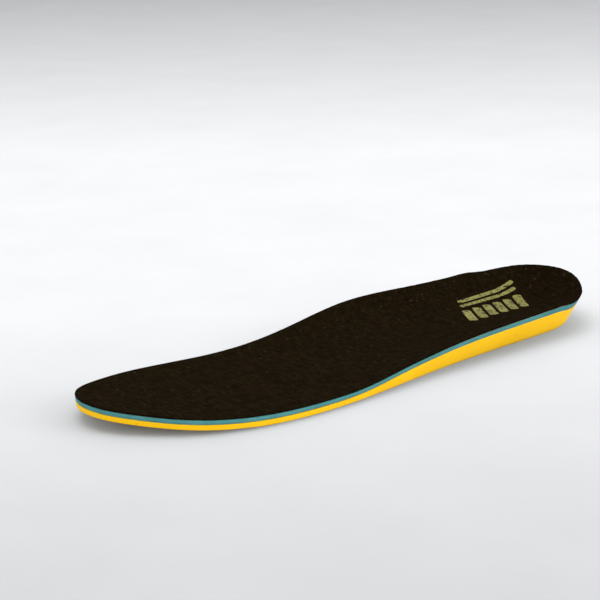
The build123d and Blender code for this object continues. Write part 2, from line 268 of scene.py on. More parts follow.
def top_height(x, y):
    """Top of the cover: a dish that rises to the arch, the outer side and the heel rim."""
    x = np.asarray(x, float)
    y = np.asarray(y, float)
    seat = sole_height(x) + along(x, SEAT_THICK)
    arch_rise = along(x, ARCH_RISE)
    outer_rise = along(x, OUTER_RISE)
    off = y - along(x, SEAT_LINE_Y)
    inner_width = along(x, INNER_SIDE) - along(x, SEAT_LINE_Y)
    outer_width = along(x, SEAT_LINE_Y) - along(x, OUTER_SIDE)
    sides = np.where(off > 0.0, arch_rise * rise_share(off / inner_width),
                     outer_rise * rise_share(-off / outer_width))
    dx = x - HEEL_CENTRE[0]
    dy = y - HEEL_CENTRE[1]
    radius = np.maximum(np.hypot(dx, dy), 1e-6)
    inner_share = 0.5 + 0.5 * dy / radius
    lift = HEEL_LIFT * (np.maximum(dx, 0.0) / radius) ** 2
    heel_rise = outer_rise + (arch_rise - outer_rise) * inner_share + lift
    heel = heel_rise * rise_share(radius / HEEL_RIM_RADIUS)
    return seat + sides + (heel - sides) * smoothstep(*HEEL_BLEND, x)


def closed_spline(points, count):
    """Smooth closed curve through the points, as count samples evenly spaced along it."""
    p = np.array(points, float)
    n = len(p)
    chord = np.linalg.norm(np.diff(p[:, :2], axis=0, append=p[:1, :2]), axis=1)
    start = np.concatenate([[0.0], np.cumsum(chord)])
    system = np.zeros((n, n))
    load = np.zeros_like(p)
    for i in range(n):
        before, after = chord[i - 1], chord[i]
        ahead = (i + 1) % n
        system[i, i - 1] += before
        system[i, i] += 2.0 * (before + after)
        system[i, ahead] += after
        load[i] = 6.0 * ((p[ahead] - p[i]) / after - (p[i] - p[i - 1]) / before)
    bend = np.linalg.solve(system, load)
    at = np.linspace(0.0, start[-1], count, endpoint=False)
    i = np.searchsorted(start, at, side="right") - 1
    ahead = (i + 1) % n
    h = chord[i][:, None]
    a = (start[i + 1] - at)[:, None]
    b = (at - start[i])[:, None]
    curve = (bend[i] * a ** 3 + bend[ahead] * b ** 3) / (6.0 * h)
    return curve + (p[i] / h - bend[i] * h / 6.0) * a + (p[ahead] / h - bend[ahead] * h / 6.0) * b


def open_spline(points, spacing):
    """Smooth curve through the points, sampled about every spacing."""
    p = np.array(points, float)
    p = np.vstack([2 * p[0] - p[1], p, 2 * p[-1] - p[-2]])
    samples = []
    for k in range(1, len(p) - 2):
        count = max(2, int(np.linalg.norm(p[k + 1] - p[k]) / spacing))
        for t in np.arange(count) / count:
            samples.append(0.5 * (2 * p[k] + (p[k + 1] - p[k - 1]) * t
                                  + (2 * p[k - 1] - 5 * p[k] + 4 * p[k + 1] - p[k + 2]) * t ** 2
                                  + (3 * p[k] - p[k - 1] - 3 * p[k + 1] + p[k + 2]) * t ** 3))
    samples.append(p[-2])
    return np.array(samples)


def sideways(curve, closed=False):
    """Unit direction across a plan curve at each of its points."""
    if closed:
        run = np.roll(curve, -1, axis=0) - np.roll(curve, 1, axis=0)
    else:
        run = np.gradient(curve, axis=0)
    run = run / np.linalg.norm(run, axis=1)[:, None]
    return np.stack([run[:, 1], -run[:, 0]], axis=1)


def plan_tree(targets):
    """Search tree over plan points."""
    tree = kdtree.KDTree(len(targets))
    for i, (x, y) in enumerate(targets):
        tree.insert((x, y, 0.0), i)
    tree.balance()
    return tree


def nearest_distance(points, targets):
    """Distance from each plan point to the nearest of the targets."""
    tree = plan_tree(targets)
    return np.array([tree.find((x, y, 0.0))[2] for x, y in points])


def circle_points(centre, radius, angles):
    """Plan points on a circle at the given angles."""
    return np.stack([centre[0] + radius * np.cos(angles), centre[1] + radius * np.sin(angles)], axis=1)


def full_turn(count):
    return np.linspace(0.0, 2.0 * math.pi, count, endpoint=False)


class Outline:
    """The rim as evenly spaced samples, with what the wall below needs at each one."""

    def __init__(self):
        curve = closed_spline(RIM, LOOP_COUNT)
        self.rim = curve[:, :2]
        self.step = np.maximum(curve[:, 2], LEAST_STEP)
        self.inward = sideways(self.rim, closed=True)
        self.rim_z = top_height(self.rim[:, 0], self.rim[:, 1])
        self.sole_z = sole_height(self.rim[:, 0])
        self.corner = along(self.rim[:, 0], CORNER)
        self.sole = self.inset(self.step * (1.0 - self.sole_z / self.rim_z) + self.corner)

    def inset(self, distance):
        distance = np.broadcast_to(distance, self.step.shape)
        return self.rim + self.inward * distance[:, None]

    def wall(self, z):
        """The wall's outline at heights z above the ground: it leans out to meet the rim."""
        return self.inset(self.step * (1.0 - z / self.rim_z))

    def edge(self, drop, inset=0.0):
        """Where the surface drop below the top meets the wall, moved inwards by inset."""
        z = self.rim_z - drop
        for _ in range(EDGE_ROUNDS):
            plan = self.wall(z)
            z = top_height(plan[:, 0], plan[:, 1]) - drop
        plan = plan + self.inward * np.broadcast_to(inset, self.step.shape)[:, None]
        return plan, top_height(plan[:, 0], plan[:, 1]) - drop


# ------------------------------------------------------------------ mesh building

class Skin:
    """Collects points and faces, in millimetres."""

    def __init__(self):
        self.points = []
        self.faces = []

    def row(self, plan, z):
        """Adds a closed row of points and returns their numbers."""
        z = np.broadcast_to(z, (len(plan),))
        first = len(self.points)
        self.points.extend((float(x), float(y), float(h)) for (x, y), h in zip(plan, z))
        return list(range(first, len(self.points)))

    def band(self, upper, lower):
        """Quads between two closed rows, facing outwards for a clockwise outline."""
        n = len(upper)
        for i in range(n):
            j = (i + 1) % n
            self.faces.append((upper[i], upper[j], lower[j], lower[i]))

    def fill(self, row, inside, height, up):
        """Triangles over the area inside a row, through the extra inside points."""
        plan = [Vector(self.points[i][:2]) for i in row]
        extra = [Vector((float(x), float(y))) for x, y in inside]
        n = len(plan)
        loop = list(range(n))[::-1]
        found = geometry.delaunay_2d_cdt(plan + extra, [], [loop], 1, 1e-5, True)
        places, _, triangles, origins, _, owners = found
        triangles = [triangle for triangle, owner in zip(triangles, owners) if owner]
        heights = height(np.array([p[0] for p in places]), np.array([p[1] for p in places]))
        number = {}
        for k in sorted({k for triangle in triangles for k in triangle}):
            on_row = [i for i in origins[k] if i < n]
            if on_row:
                number[k] = row[on_row[0]]
            else:
                number[k] = len(self.points)
                self.points.append((places[k][0], places[k][1], float(heights[k])))
        for triangle in triangles:
            face = [number[k] for k in triangle]
            self.faces.append(tuple(face if up else face[::-1]))


def make_mesh(name, skin, material):
    mesh = bpy.data.meshes.new(name)
    mesh.from_pydata([(x * MM, y * MM, z * MM) for x, y, z in skin.points], [], skin.faces)
    mesh.polygons.foreach_set("use_smooth", [True] * len(mesh.polygons))
    mesh.materials.append(material)
    mesh.validate()
    mesh.update()
    obj = bpy.data.objects.new(name, mesh)
    bpy.context.scene.collection.objects.link(obj)
    return obj


def hex_grid(spacing):
    """Plan points over the whole insole, in staggered rows."""
    rows = []
    dy = spacing * math.sqrt(3.0) / 2.0
    for k, y in enumerate(np.arange(-GRID_HALF_WIDTH, GRID_HALF_WIDTH, dy)):
        x = np.arange(-GRID_HALF_LENGTH, GRID_HALF_LENGTH, spacing) + (k % 2) * spacing / 2.0
        rows.append(np.stack([x, np.full_like(x, y)], axis=1))
    return np.vstack(rows)


def inside_loop(points, loop):
    """Which plan points lie inside a closed loop."""
    x, y = points[:, 0], points[:, 1]
    inside = np.zeros(len(points), bool)
    ahead = np.roll(loop, -1, axis=0)
    for (x0, y0), (x1, y1) in zip(loop, ahead):
        if y0 == y1:
            continue
        crosses = (y0 > y) != (y1 > y)
        at = (x1 - x0) * (y - y0) / (y1 - y0) + x0
        inside ^= crosses & (x < at)
    return inside


def keep_inside(points, loop, margin):
    """The points inside the loop that stay at least margin away from it."""
    points = points[inside_loop(points, loop)]
    return points[nearest_distance(points, loop) > margin]


def grid_inside(loop, grid):
    """Grid points inside the loop; grid holds their spacing and their margin."""
    spacing, margin = grid
    return keep_inside(hex_grid(spacing), loop, margin)


def thin_out(points, spacing):
    """Drops each point that comes closer than spacing to an earlier one."""
    kept = []
    cells = {}
    for x, y in points:
        cell = (int(math.floor(x / spacing)), int(math.floor(y / spacing)))
        close = False
        for i in (-1, 0, 1):
            for j in (-1, 0, 1):
                for px, py in cells.get((cell[0] + i, cell[1] + j), ()):
                    close = close or (px - x) ** 2 + (py - y) ** 2 < spacing ** 2
        if not close:
            cells.setdefault(cell, []).append((x, y))
            kept.append((x, y))
    return np.array(kept)


def field_noise(x, y, scale, seed):
    """Smooth random field over the plan, about -1 to 1, with features about scale wide."""
    return np.array([noise.noise((px / scale, py / scale, seed)) for px, py in zip(x, y)])


def layered_noise(x, y, layers):
    return sum(height * field_noise(x, y, width, seed) for height, width, seed in layers)


# ------------------------------------------------------------------ motif of bars

def motif_bars(design):
    """Centre, size, corner radius and lean of each bar, in the motif's own axes."""
    row_along_x = design["bar"][0] < design["bar"][1]
    lean = design["lean"]
    short_reach = max(design["bar"]) * math.cos(lean) + min(design["bar"]) * math.sin(lean)
    long_reach = min(design["long_bar"])
    total = short_reach + MOTIF_GAP + 2.0 * long_reach + LONG_BAR_GAP

    def place(at, away):
        return (at + away * math.tan(lean), away) if row_along_x else (-away, at)

    bars = []
    for i in range(design["bars"]):
        at = (i - (design["bars"] - 1) / 2.0) * design["pitch"]
        centre = place(at, (total - short_reach) / 2.0)
        bars.append((centre, design["bar"], min(design["bar"]) * BAR_ROUNDING, lean))
    for i in range(2):
        away = (long_reach - total) / 2.0 + i * (long_reach + LONG_BAR_GAP)
        bars.append((place(0.0, away), design["long_bar"], long_reach * LONG_BAR_ROUNDING, 0.0))
    return bars


def turned(points, angle):
    """Plan points turned about the origin."""
    c, s = math.cos(angle), math.sin(angle)
    return np.stack([points[:, 0] * c - points[:, 1] * s, points[:, 0] * s + points[:, 1] * c], axis=1)


def bar_in_plan(design, bar, grow, spacing=0.7):
    """Outline of one bar of the motif, laid out on the insole."""
    centre, size, radius, lean = bar
    loop = turned(bar_outline(size, radius, grow, spacing), -lean) + np.array(centre)
    return turned(loop, design["turn"]) + np.array(design["centre"])


def bar_outline(size, radius, grow, spacing):
    """Rounded rectangle about the origin, grown by grow, as evenly spaced points."""
    half_x, half_y = size[0] / 2.0 - radius, size[1] / 2.0 - radius
    r = radius + grow
    points = []
    corners = [
        (half_x, half_y, 0.0), (-half_x, half_y, 90.0),
        (-half_x, -half_y, 180.0), (half_x, -half_y, 270.0),
    ]
    for k, (cx, cy, first) in enumerate(corners):
        for a in np.radians(np.linspace(first, first + 90.0, CORNER_POINTS)):
            points.append((cx + r * math.cos(a), cy + r * math.sin(a)))
        nx, ny, turn = corners[(k + 1) % 4]
        a = math.radians(turn)
        end = (nx + r * math.cos(a), ny + r * math.sin(a))
        start = points[-1]
        count = int(math.dist(start, end) / spacing)
        for j in range(1, count):
            t = j / count
            points.append((start[0] + (end[0] - start[0]) * t, start[1] + (end[1] - start[1]) * t))
    return np.array(points)


def bar_distance(x, y, centre, size, radius):
    """Signed distance to a rounded rectangle, negative inside."""
    qx = np.abs(x - centre[0]) - (size[0] / 2.0 - radius)
    qy = np.abs(y - centre[1]) - (size[1] / 2.0 - radius)
    outside = np.hypot(np.maximum(qx, 0.0), np.maximum(qy, 0.0))
    return outside + np.minimum(np.maximum(qx, qy), 0.0) - radius


# ------------------------------------------------------------------ relief of the sole

def rib_circle(i):
    """Centre and radius of rib groove i, counted from the heel."""
    radius = RIB_FIRST_RADIUS + RIB_RADIUS_STEP * (i + 1)
    toe_x = RIB_LAST_X - RIB_PITCH * i
    return (toe_x + radius, HEEL_CENTRE[1] - RIB_FIRST_SHIFT - RIB_SHIFT_STEP * i), radius


def pin_places():
    """Plan points of all the pin holes."""
    places = [groove[1] for groove in FAN_GROOVES]
    places += [FAN_GROOVES[i][2] for i in INNER_PIN_ROW]
    places.append(ARCH_PIN)
    return places


def notch(distance, half_width):
    """1 in the bottom of a V groove, 0 beyond its half width, softly rounded."""
    t = np.clip(np.abs(distance) / half_width, 0.0, 1.0)
    return (1.0 - t) ** GROOVE_POWER * (1.0 + GROOVE_POWER * t)


class Relief:
    """How far the underside of the sole is pressed in, over the plan."""

    def __init__(self, outline):
        self.edge = outline.sole
        self.fan_curves = [open_spline(points, FEATURE_SPACING) for points in FAN_GROOVES]
        self.border = open_spline(TOE_BORDER, BORDER_SPACING)
        self.border_side = sideways(self.border)

    def ribs(self, x, y):
        """Scalloped ribs: each one is rounded, with a sharp groove on its toe side."""
        toe_side = []
        for i in range(RIB_COUNT):
            (cx, cy), radius = rib_circle(i)
            away = np.hypot(x - cx, y - cy) - radius
            away = np.where(x > cx, np.abs(y - cy) - radius, away)
            toe_side.append(away)
        heel_side = [np.hypot(x - HEEL_CENTRE[0], y - HEEL_CENTRE[1]) - RING_RADII[1]] + toe_side[:-1]
        depth = np.zeros_like(x)
        for near, far in zip(heel_side, toe_side):
            between = (near > 0.0) & (far < 0.0)
            u = near / np.maximum(near - far, 1e-6)
            toe_run = np.clip((u - TOE_FLANK_START) / (1.0 - TOE_FLANK_START), 0.0, 1.0)
            heel_run = np.clip((HEEL_FLANK_END - u) / HEEL_FLANK_END, 0.0, 1.0)
            flanks = TOE_FLANK_FALL * toe_run ** TOE_FLANK_POWER + HEEL_FLANK_FALL * heel_run ** 2
            depth = np.maximum(depth, np.where(between, flanks, 0.0))
        for far in toe_side:
            depth = np.maximum(depth, notch(far, GROOVE_HALF_WIDTH))
        shoulder = np.clip(1.0 - toe_side[-1] / SHOULDER_WIDTH, 0.0, 1.0) ** 2 * SHOULDER_FALL
        return np.maximum(depth, np.where(toe_side[-1] > 0.0, shoulder, 0.0))

    def rings(self, x, y):
        """Round middle disc and annulus of the heel, with a groove at each radius."""
        radius = np.hypot(x - HEEL_CENTRE[0], y - HEEL_CENTRE[1])
        inner, outer = RING_RADII
        disc = np.where(radius < inner, DISC_FALL * (radius / inner) ** DISC_POWER, 0.0)
        u = np.abs((radius - (inner + outer) / 2.0) / ((outer - inner) / 2.0))
        on_annulus = (radius >= inner) & (radius <= outer)
        annulus = np.where(on_annulus, DISC_FALL * np.clip(u, 0.0, 1.0) ** ANNULUS_POWER, 0.0)
        beyond = np.clip(1.0 - (radius - outer) / LIP_WIDTH, 0.0, 1.0)
        lip = np.where(radius > outer, LIP_FALL * beyond ** 2, 0.0)
        dimple = DIMPLE_FALL * np.exp(-(radius / DIMPLE_RADIUS) ** 2)
        depth = np.maximum.reduce([disc, annulus, lip, dimple])
        for ring in RING_RADII:
            depth = np.maximum(depth, notch(radius - ring, GROOVE_HALF_WIDTH))
        return depth

    def toe_band(self, points):
        """1 outside the border line at the toe, 0 inside it."""
        tree = plan_tree(self.border)
        away = np.zeros(len(points))
        for k, (x, y) in enumerate(points):
            if x > BORDER_END_X:
                continue
            _, i, _ = tree.find((x, y, 0.0))
            off_x = x - self.border[i][0]
            off_y = y - self.border[i][1]
            away[k] = off_x * self.border_side[i][0] + off_y * self.border_side[i][1]
        return np.where(points[:, 0] > BORDER_END_X, 0.0, smoothstep(-BORDER_WALL, BORDER_WALL, away))

    def depth(self, x, y):
        """All the features together, in millimetres above the plain sole."""
        points = np.stack([x, y], axis=1)
        from_edge = nearest_distance(points, self.edge)
        ribs = self.ribs(x, y)
        ring_radius = np.hypot(x - HEEL_CENTRE[0], y - HEEL_CENTRE[1])
        in_heel = smoothstep(RING_RADII[1] + HEEL_DISC_BLUR, RING_RADII[1], ring_radius)
        off_edge = smoothstep(*RIB_EDGE_FADE, from_edge)
        off_heel = smoothstep(*RIB_HEEL_FADE, x)
        depth = GROOVE_DEPTH * ribs * off_edge * off_heel * (1.0 - in_heel)
        depth = np.maximum(depth, GROOVE_DEPTH * self.rings(x, y))
        fan = nearest_distance(points, np.vstack(self.fan_curves))
        depth = np.maximum(depth, FAN_DEPTH * np.exp(-(fan / FAN_HALF_WIDTH) ** 2))
        depth = depth + BORDER_STEP * self.toe_band(points)
        ledge = smoothstep(*LEDGE_EDGE, from_edge)
        ledge = ledge * smoothstep(*LEDGE_TOE_FADE, x) * smoothstep(*LEDGE_HEEL_FADE, x)
        depth = depth + LEDGE_DEPTH * ledge * (y > 0.0)
        own_x, own_y = x - EMBLEM["centre"][0], y - EMBLEM["centre"][1]
        for centre, size, radius, _ in motif_bars(EMBLEM):
            away = bar_distance(own_x, own_y, centre, size, radius)
            depth = depth + EMBLEM_DEPTH * smoothstep(EMBLEM_WALL, -EMBLEM_WALL, away)
        for px, py in pin_places():
            away = np.hypot(x - px, y - py)
            depth = depth + PIN_DEPTH * smoothstep(PIN_RADIUS + PIN_WALL, PIN_RADIUS - PIN_WALL, away)
        return depth

    def height(self, x, y):
        return sole_height(x) + self.depth(x, y)

    def sample_points(self):
        """Plan points along every feature, so that the mesh follows it."""
        rows = []
        for place in pin_places():
            for radius, count in PIN_ROWS:
                rows.append(circle_points(place, radius, full_turn(count)))
        for curve in self.fan_curves:
            side = sideways(curve)
            for off in FAN_ROWS:
                rows.append(curve + side * off)
        for off in BORDER_ROWS:
            rows.append(self.border + self.border_side * off)
        for bar in motif_bars(EMBLEM):
            for grow in EMBLEM_ROWS:
                rows.append(bar_in_plan(EMBLEM, bar, grow))
        for ring in RING_RADII:
            for off in GROOVE_ROWS:
                count = int(2.0 * math.pi * (ring + off) / FEATURE_SPACING)
                rows.append(circle_points(HEEL_CENTRE, ring + off, full_turn(count)))
        for i in range(RIB_COUNT):
            centre, radius = rib_circle(i)
            for off in GROOVE_ROWS:
                count = int(math.pi * (radius + off) / FEATURE_SPACING)
                toe_half = np.linspace(math.pi / 2.0, 1.5 * math.pi, count)
                rows.append(circle_points(centre, radius + off, toe_half))
        return np.vstack(rows)


# ------------------------------------------------------------------ materials

BLACK = (0.0, 0.0, 0.0)
WHITE = (1.0, 1.0, 1.0)
FABRIC_DARK = (0.0046, 0.0027, 0.0008)
FABRIC_LIGHT = (0.0098, 0.0059, 0.0022)
FABRIC_STRAND = (0.0175, 0.0118, 0.0056)
FABRIC_LINT = (0.036, 0.028, 0.018)
FABRIC_SHEEN = (0.60, 0.48, 0.34, 1.0)
TEAL_DARK = (0.054, 0.219, 0.224)
TEAL_LIGHT = (0.080, 0.276, 0.274)
# painted shade: how much darker the foam's pores are coloured
TEAL_PORE_SHADE = (0.62, 0.62, 0.62)
YELLOW_DEEP = (0.93, 0.50, 0.002)
YELLOW_LIGHT = (0.98, 0.56, 0.006)
# painted shade: the darker colour of the base's pin pores
YELLOW_PIT_SHADE = (0.62, 0.30, 0.010)
INK_DARK = (0.180, 0.163, 0.038)
INK_LIGHT = (0.240, 0.220, 0.060)
INK_WORN = (0.020, 0.016, 0.009)
WEB_DARK = (0.42, 0.38, 0.26)
WEB_LIGHT = (0.60, 0.55, 0.40)


def grey(value):
    return (value, value, value)


def new_material(name):
    material = bpy.data.materials.new(name)
    material.use_nodes = True
    nodes = material.node_tree.nodes
    return material, nodes, material.node_tree.links, nodes["Principled BSDF"]


def noise_node(nodes, links, coords, scale, detail, rough, stretch=None):
    """Noise over the object's own coordinates, about 1/scale metres wide; stretch is (turn, scales)."""
    tex = nodes.new("ShaderNodeTexNoise")
    tex.inputs["Scale"].default_value = scale
    tex.inputs["Detail"].default_value = detail
    tex.inputs["Roughness"].default_value = rough
    source = coords
    if stretch is not None:
        mapping = nodes.new("ShaderNodeMapping")
        mapping.inputs["Rotation"].default_value = (0.0, 0.0, stretch[0])
        mapping.inputs["Scale"].default_value = stretch[1]
        links.new(coords, mapping.inputs["Vector"])
        source = mapping.outputs["Vector"]
    links.new(source, tex.inputs["Vector"])
    return tex.outputs["Fac"]


def ramp(nodes, links, source, stops):
    """Colour ramp with (position, colour) stops."""
    node = nodes.new("ShaderNodeValToRGB")
    elements = node.color_ramp.elements
    while len(elements) < len(stops):
        elements.new(0.5)
    for element, (position, colour) in zip(elements, stops):
        element.position = position
        element.color = (*colour, 1.0)
    links.new(source, node.inputs["Fac"])
    return node.outputs["Color"]


def mix_colour(nodes, links, factor, a, b, blend="MIX"):
    """Mix of a and b, each a socket or a colour."""
    node = nodes.new("ShaderNodeMix")
    node.data_type = "RGBA"
    node.blend_type = blend
    for socket, value in ((node.inputs[0], factor), (node.inputs[6], a), (node.inputs[7], b)):
        if isinstance(value, bpy.types.NodeSocket):
            links.new(value, socket)
        else:
            socket.default_value = value if not isinstance(value, tuple) else (*value, 1.0)
    return node.outputs[2]


def bump(nodes, links, height, strength, distance, normal=None):
    """Bump over an optional coarser one; distance is in metres."""
    node = nodes.new("ShaderNodeBump")
    node.inputs["Strength"].default_value = strength
    node.inputs["Distance"].default_value = distance
    links.new(height, node.inputs["Height"])
    if normal is not None:
        links.new(normal, node.inputs["Normal"])
    return node.outputs["Normal"]


def object_coords(nodes):
    return nodes.new("ShaderNodeTexCoord").outputs["Object"]


def fabric_material():
    """Brushed brown-black knit: short nap, faint lint, soft sheen."""
    material, nodes, links, shader = new_material("brushed_fabric")
    coords = object_coords(nodes)
    clumps = noise_node(nodes, links, coords, 260.0, 4.0, 0.6)
    fibres_a = noise_node(nodes, links, coords, 900.0, 3.0, 0.6, (0.6, (1.0, 0.22, 1.0)))
    fibres_b = noise_node(nodes, links, coords, 900.0, 3.0, 0.6, (-0.9, (1.0, 0.25, 1.0)))
    base = ramp(nodes, links, clumps, [(0.30, FABRIC_DARK), (0.72, FABRIC_LIGHT)])
    strands = ramp(nodes, links, fibres_a, [(0.50, BLACK), (0.80, WHITE)])
    base = mix_colour(nodes, links, strands, base, FABRIC_STRAND)
    lint_field = noise_node(nodes, links, coords, 520.0, 1.0, 0.4)
    lint = ramp(nodes, links, lint_field, [(0.735, BLACK), (0.79, WHITE)])
    base = mix_colour(nodes, links, lint, base, FABRIC_LINT)
    links.new(base, shader.inputs["Base Color"])
    shader.inputs["Roughness"].default_value = 0.95
    shader.inputs["Specular IOR Level"].default_value = 0.0
    shader.inputs["Sheen Weight"].default_value = 0.01
    shader.inputs["Sheen Roughness"].default_value = 0.5
    shader.inputs["Sheen Tint"].default_value = FABRIC_SHEEN
    soft = bump(nodes, links, clumps, 0.55, 0.0006)
    fine = bump(nodes, links, fibres_a, 0.5, 0.0003, soft)
    links.new(bump(nodes, links, fibres_b, 0.4, 0.0003, fine), shader.inputs["Normal"])
    return material


def foam_material():
    """Teal open-cell foam, as its cut edge shows it, with painted shade in its pores."""
    material, nodes, links, shader = new_material("teal_memory_foam")
    coords = object_coords(nodes)
    cells = nodes.new("ShaderNodeTexVoronoi")
    cells.inputs["Scale"].default_value = 1500.0
    links.new(coords, cells.inputs["Vector"])
    drift = noise_node(nodes, links, coords, 120.0, 3.0, 0.5)
    base = ramp(nodes, links, drift, [(0.3, TEAL_DARK), (0.7, TEAL_LIGHT)])
    # painted shade: the pores are coloured darker, as shade inside them
    pores = ramp(nodes, links, cells.outputs["Distance"], [(0.0, TEAL_PORE_SHADE), (0.45, WHITE)])
    base = mix_colour(nodes, links, 1.0, base, pores, "MULTIPLY")
    links.new(base, shader.inputs["Base Color"])
    shader.inputs["Roughness"].default_value = 0.85
    shader.inputs["Specular IOR Level"].default_value = 0.2
    links.new(bump(nodes, links, cells.outputs["Distance"], 0.5, 0.00025), shader.inputs["Normal"])
    return material


def base_material():
    """Yellow moulded polyurethane foam with a smooth satin skin and faint pin pores, coloured darker as
    painted shade.
    """
    material, nodes, links, shader = new_material("yellow_moulded_foam")
    coords = object_coords(nodes)
    clouds = noise_node(nodes, links, coords, 45.0, 3.0, 0.5)
    base = ramp(nodes, links, clouds, [(0.3, YELLOW_DEEP), (0.7, YELLOW_LIGHT)])
    pores = nodes.new("ShaderNodeTexVoronoi")
    pores.inputs["Scale"].default_value = 420.0
    links.new(coords, pores.inputs["Vector"])
    pits = ramp(nodes, links, pores.outputs["Distance"], [(0.05, BLACK), (0.16, WHITE)])
    patches = noise_node(nodes, links, coords, 160.0, 1.0, 0.5)
    picked = ramp(nodes, links, patches, [(0.60, WHITE), (0.66, BLACK)])
    pits = mix_colour(nodes, links, 1.0, pits, picked, "LIGHTEN")
    # painted shade: the pits are coloured darker, as shade inside them
    base = mix_colour(nodes, links, pits, YELLOW_PIT_SHADE, base)
    links.new(base, shader.inputs["Base Color"])
    grain = noise_node(nodes, links, coords, 1400.0, 3.0, 0.6)
    gloss = ramp(nodes, links, clouds, [(0.2, grey(0.50)), (0.8, grey(0.62))])
    links.new(gloss, shader.inputs["Roughness"])
    shader.inputs["Specular IOR Level"].default_value = 0.12
    shader.inputs["Subsurface Weight"].default_value = 0.12
    shader.inputs["Subsurface Radius"].default_value = (1.0, 0.5, 0.1)
    shader.inputs["Subsurface Scale"].default_value = 0.0015
    soft = bump(nodes, links, grain, 0.22, 0.0002)
    links.new(bump(nodes, links, pits, 0.5, 0.0002, soft), shader.inputs["Normal"])
    return material


def print_material():
    """Olive transfer print, worn through to the nap in specks."""
    material, nodes, links, shader = new_material("olive_print")
    coords = object_coords(nodes)
    wear = noise_node(nodes, links, coords, 620.0, 4.0, 0.65)
    tone = noise_node(nodes, links, coords, 150.0, 2.0, 0.5)
    ink = ramp(nodes, links, tone, [(0.3, INK_DARK), (0.7, INK_LIGHT)])
    gaps = ramp(nodes, links, wear, [(0.40, WHITE), (0.47, BLACK)])
    links.new(mix_colour(nodes, links, gaps, ink, INK_WORN), shader.inputs["Base Color"])
    shader.inputs["Roughness"].default_value = 0.8
    shader.inputs["Specular IOR Level"].default_value = 0.2
    links.new(bump(nodes, links, wear, 0.6, 0.0004), shader.inputs["Normal"])
    return material


def film_material():
    """Hot-melt web: milky, with a coarse random mesh."""
    material, nodes, links, shader = new_material("bond_web")
    coords = object_coords(nodes)
    web = noise_node(nodes, links, coords, 500.0, 3.0, 0.6)
    tone = ramp(nodes, links, web, [(0.35, WEB_DARK), (0.65, WEB_LIGHT)])
    links.new(tone, shader.inputs["Base Color"])
    shader.inputs["Roughness"].default_value = 0.5
    links.new(bump(nodes, links, web, 0.4, 0.0002), shader.inputs["Normal"])
    return material


# The floor's colour carries painted light: a painted pool of light round the object, painted shade in front
# of it and far behind.
FLOOR_NEAR = -0.36         # metres from the origin, along the line of sight
FLOOR_FAR = 4.14
FLOOR_REACH = 30.0
FLOOR_GAP = 0.0002         # keeps the floor clear of the flat sole
FLOOR_PAINTED_LIGHT = [(0.0, 0.48), (0.04, 0.56), (0.10, 0.71), (0.20, 0.74), (0.31, 0.60), (0.45, 0.46), (1.0, 0.42)]


def floor_material():
    """Pale studio floor with painted light: a painted pool of light round the object, painted shade in front
    of it and far behind.
    """
    material, nodes, links, shader = new_material("studio_floor")
    coords = object_coords(nodes)
    depth = nodes.new("ShaderNodeVectorMath")
    depth.operation = "DOT_PRODUCT"
    depth.inputs[1].default_value = (math.sin(CAMERA_TURN), math.cos(CAMERA_TURN), 0.0)
    links.new(coords, depth.inputs[0])
    near = nodes.new("ShaderNodeMapRange")
    near.inputs["From Min"].default_value = FLOOR_NEAR
    near.inputs["From Max"].default_value = FLOOR_FAR
    links.new(depth.outputs["Value"], near.inputs["Value"])
    # painted light and shade, graded along the line of sight
    tone = ramp(nodes, links, near.outputs["Result"],
                [(at, grey(tone)) for at, tone in FLOOR_PAINTED_LIGHT])
    mottle = noise_node(nodes, links, coords, 14.0, 6.0, 0.6)
    shade = ramp(nodes, links, mottle, [(0.3, grey(0.955)), (0.7, WHITE)])
    links.new(mix_colour(nodes, links, 1.0, tone, shade, "MULTIPLY"), shader.inputs["Base Color"])
    shader.inputs["Roughness"].default_value = 0.85
    shader.inputs["Specular IOR Level"].default_value = 0.15
    return material


# ------------------------------------------------------------------ pieces

def cover_surface(x, y):
    """Top of the cover with the slight unevenness of its nap."""
    return top_height(x, y) + layered_noise(x, y, NAP)


def build_cover(outline, material):
    """Fabric sheet: napped top, rounded cut edge, plain underside."""
    skin = Skin()
    ragged = layered_noise(*outline.rim.T, RAGGED_CUT)
    top_in = outline.inset(COVER_SHOULDER)
    top_row = skin.row(top_in, cover_surface(top_in[:, 0], top_in[:, 1]))
    previous = top_row
    for inset, drop in COVER_EDGE:
        plan, z = outline.edge(drop, inset + ragged)
        row = skin.row(plan, z + ragged * RAGGED_LIFT)
        skin.band(previous, row)
        previous = row
    under, z = outline.edge(COVER_THICK, COVER_UNDER_INSET)
    bottom = skin.row(under, z)
    skin.band(previous, bottom)
    skin.fill(top_row, grid_inside(top_in, NAP_GRID), cover_surface, True)
    plain = grid_inside(under, PLAIN_GRID)
    skin.fill(bottom, plain, lambda x, y: top_height(x, y) - COVER_THICK, False)
    return make_mesh("top_cover", skin, material)


def build_sheet(name, outline, material, top_drop, bottom_drop, edge):
    """Sheet between two drops below the top surface; edge holds (inset, share of depth) rows."""
    skin = Skin()
    height, width = FOAM_ROUGHNESS
    rows = []
    for inset, share in edge:
        drop = top_drop + (bottom_drop - top_drop) * share
        seed = 3.0 + 7.0 * share
        rough = height * field_noise(*outline.rim.T, width, seed)
        plan, z = outline.edge(drop, inset + rough)
        rows.append((plan, skin.row(plan, z)))
        if len(rows) > 1:
            skin.band(rows[-2][1], rows[-1][1])
    for (plan, row), drop, up in ((rows[0], top_drop, True), (rows[-1], bottom_drop, False)):
        skin.fill(row, grid_inside(plan, PLAIN_GRID), lambda x, y: top_height(x, y) - drop, up)
    return make_mesh(name, skin, material)


